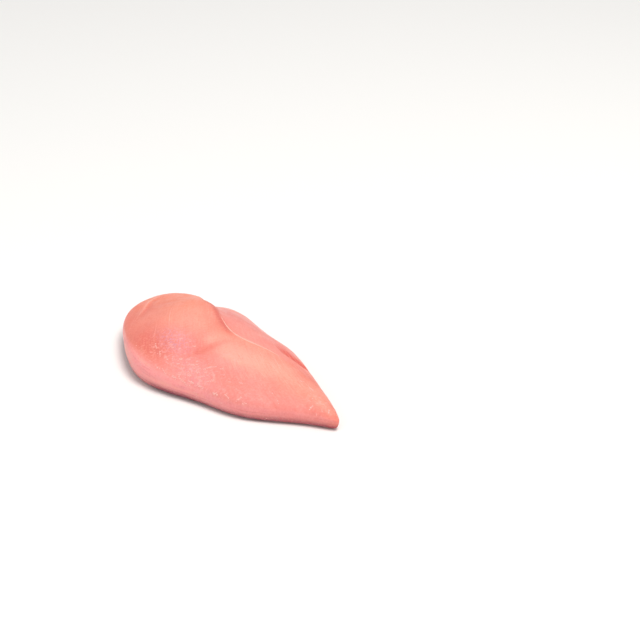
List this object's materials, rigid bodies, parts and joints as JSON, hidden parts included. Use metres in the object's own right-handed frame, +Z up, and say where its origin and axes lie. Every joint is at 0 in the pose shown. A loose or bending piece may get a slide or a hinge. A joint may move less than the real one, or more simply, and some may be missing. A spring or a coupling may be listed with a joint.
{
  "type": "raw chicken breast",
  "caption": "Raw skinless boneless chicken breast lying smooth side up, thick at the round end, tapering to a tip, with a thin flap folded along one long edge.",
  "frame": {"origin": "the middle of the footprint, on the surface that the breast lies on", "axes": "+X along the length to the narrow tip, +Z up, -Y to the thick long edge and +Y to the long edge with the flap"},
  "size_m": [0.184, 0.0926, 0.0307],
  "materials": {
    "flesh": "raw poultry flesh: pale pink to peach, moist and satin, slightly translucent"
  },
  "bodies": {
    "root": {"chicken_breast": "flesh"}
  },
  "joints": []
}
